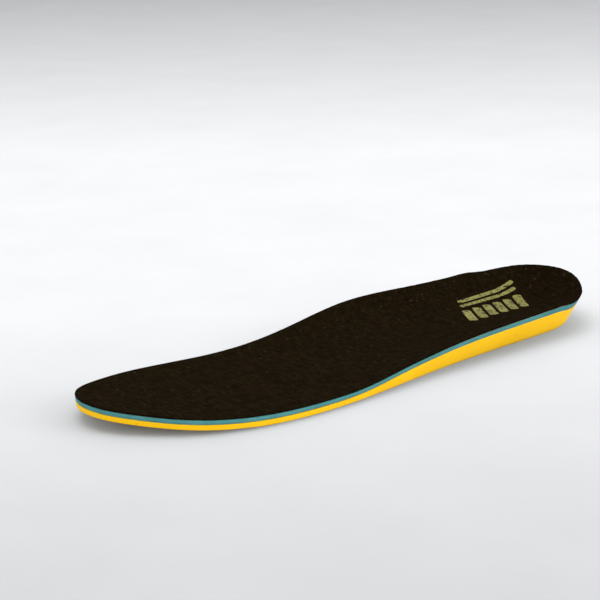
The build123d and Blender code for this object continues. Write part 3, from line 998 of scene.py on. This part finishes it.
def build_base(outline, material):
    """Moulded base: flat under the foam, leaning wall, rounded corner, relief underneath."""
    relief = Relief(outline)
    skin = Skin()
    top_z = outline.edge(BASE_TOP)[1]
    top_in, top_in_z = outline.edge(BASE_TOP, BASE_SHOULDER)
    top_row = skin.row(top_in, top_in_z)
    shoulder_drop, shoulder_inset = BASE_SHOULDER_ROW
    z = top_z - shoulder_drop
    previous = skin.row(outline.wall(z) + outline.inward * shoulder_inset, z)
    skin.band(top_row, previous)
    low_z = outline.sole_z + outline.corner
    high_z = top_z - BASE_WALL_DROP
    for share in WALL_SHARES:
        z = high_z + (low_z - high_z) * share
        row = skin.row(outline.wall(z), z)
        skin.band(previous, row)
        previous = row
    wall_foot = outline.wall(low_z)
    bottom_corner = outline.wall(outline.sole_z)
    sole_z = relief.height(outline.sole[:, 0], outline.sole[:, 1])
    for t in CORNER_SHARES:
        a, b, c = (1 - t) ** 2, 2 * t * (1 - t), t * t   # weights of a round corner's three points
        plan = wall_foot * a + bottom_corner * b + outline.sole * c
        z = low_z * a + outline.sole_z * b + sole_z * c
        row = skin.row(plan, z)
        skin.band(previous, row)
        previous = row
    sole_row = skin.row(outline.sole, sole_z)
    skin.band(previous, sole_row)
    plain = grid_inside(top_in, PLAIN_GRID)
    skin.fill(top_row, plain, lambda x, y: top_height(x, y) - BASE_TOP, True)
    features = thin_out(keep_inside(relief.sample_points(), outline.sole, FEATURE_MARGIN), FEATURE_GAP)
    ground = grid_inside(outline.sole, SOLE_GRID)
    ground = ground[nearest_distance(ground, features) > SOLE_GAP]
    skin.fill(sole_row, np.vstack([features, ground]), relief.height, False)
    return make_mesh("moulded_base", skin, material)


def build_print(material):
    """Thin ink patches that follow the napped cover."""
    skin = Skin()
    for bar in motif_bars(PRINT):
        rows = []
        for grow, lift in ((-0.25, PRINT_LIFT), (0.0, PRINT_LIFT * 0.6), (0.0, -PRINT_SINK)):
            loop = bar_in_plan(PRINT, bar, grow, PRINT_SPACING)[::-1]
            rows.append((loop, skin.row(loop, cover_surface(loop[:, 0], loop[:, 1]) + lift)))
        skin.band(rows[0][1], rows[1][1])
        skin.band(rows[1][1], rows[2][1])
        fine = grid_inside(rows[0][0], PRINT_GRID)
        skin.fill(rows[0][1], fine, lambda x, y: cover_surface(x, y) + PRINT_LIFT, True)
        skin.fill(rows[2][1], fine, lambda x, y: cover_surface(x, y) - PRINT_SINK, False)
    return make_mesh("heel_print_ink", skin, material)


# ------------------------------------------------------------------ assembly

def bend_with_foot(piece):
    """Bakes the piece's placement into its mesh."""
    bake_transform(piece)


def build_insole():
    outline = Outline()
    film = film_material()
    cover = build_cover(outline, fabric_material())
    foam = build_sheet("memory_foam_sheet", outline, foam_material(), FOAM_TOP, FOAM_BOTTOM, FOAM_EDGE)
    cover_film = build_sheet("cover_film", outline, film, COVER_THICK, FOAM_TOP, FILM_EDGE)
    base_film = build_sheet("base_film", outline, film, FOAM_BOTTOM, BASE_TOP, FILM_EDGE)
    base = build_base(outline, base_material())
    ink = build_print(print_material())

    stands_for = ((cover, "top_cover", "cover_fabric"), (foam, "memory_foam", "memory_foam"),
                  (cover_film, "cover_bond_film", "bond_film"), (base_film, "base_bond_film", "bond_film"),
                  (base, "moulded_base", "base_foam"))
    for piece, node, slot in stands_for:
        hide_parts(*[node + "_" + half for half in HALVES])
        bend_with_foot(piece)
    base.visible_diffuse = False     # its strong yellow doesn't tint the floor
    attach(ink, "rearfoot")
    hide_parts("heel_print")


# ------------------------------------------------------------------ camera, floor and light

def add_camera():
    """Camera at the viewing angle, aimed so that the insole sits low and right of the middle."""
    data = bpy.data.cameras.new("camera")
    data.sensor_width = SENSOR_WIDTH
    data.lens = SENSOR_WIDTH * FOCAL_SHARE
    data.clip_end = 100.0
    camera = bpy.data.objects.new("camera", data)
    bpy.context.scene.collection.objects.link(camera)
    back = Vector((-math.sin(CAMERA_TURN) * math.cos(CAMERA_RISE),
                   -math.cos(CAMERA_TURN) * math.cos(CAMERA_RISE), math.sin(CAMERA_RISE)))
    camera.location = TARGET + back * CAMERA_DISTANCE
    level = back.to_track_quat("Z", "Y").to_matrix()
    aim_left = Matrix.Rotation(math.atan(TARGET_ACROSS / FOCAL_SHARE), 3, "Y")
    aim_up = Matrix.Rotation(math.atan(TARGET_DOWN / FOCAL_SHARE), 3, "X")
    roll = Matrix.Rotation(-CAMERA_ROLL, 3, "Z")
    camera.rotation_euler = (level @ aim_left @ aim_up @ roll).to_euler()
    bpy.context.scene.camera = camera


def add_floor():
    mesh = bpy.data.meshes.new("floor")
    reach = FLOOR_REACH
    corners = [(-reach, -reach, 0.0), (reach, -reach, 0.0), (reach, reach, 0.0), (-reach, reach, 0.0)]
    mesh.from_pydata(corners, [], [(0, 1, 2, 3)])
    mesh.materials.append(floor_material())
    floor = bpy.data.objects.new("floor", mesh)
    floor.location.z = -FLOOR_GAP
    bpy.context.scene.collection.objects.link(floor)


def add_area_light(name, place, size, power):
    """Round soft light at a place, facing the origin."""
    data = bpy.data.lights.new(name, "AREA")
    data.shape = "DISK"
    data.size = size
    data.energy = power
    light = bpy.data.objects.new(name, data)
    light.location = place
    light.rotation_euler = Vector(place).to_track_quat("Z", "Y").to_euler()
    bpy.context.scene.collection.objects.link(light)


def add_light():
    world = bpy.data.worlds.new("studio")
    world.use_nodes = True
    background = world.node_tree.nodes["Background"]
    background.inputs["Color"].default_value = (0.92, 0.94, 0.97, 1.0)
    background.inputs["Strength"].default_value = 1.0
    bpy.context.scene.world = world
    add_area_light("key", (-0.3, 0.2, 1.9), 1.8, 15.0)
    add_area_light("fill", (1.1, -1.7, 0.6), 1.4, 20.0)
    add_area_light("low", (-1.4, -0.9, 0.22), 0.7, 2.5)
    bpy.context.scene.view_settings.view_transform = "Standard"
    bpy.context.scene.view_settings.look = "None"


add_camera()
add_floor()
add_light()
build_insole()
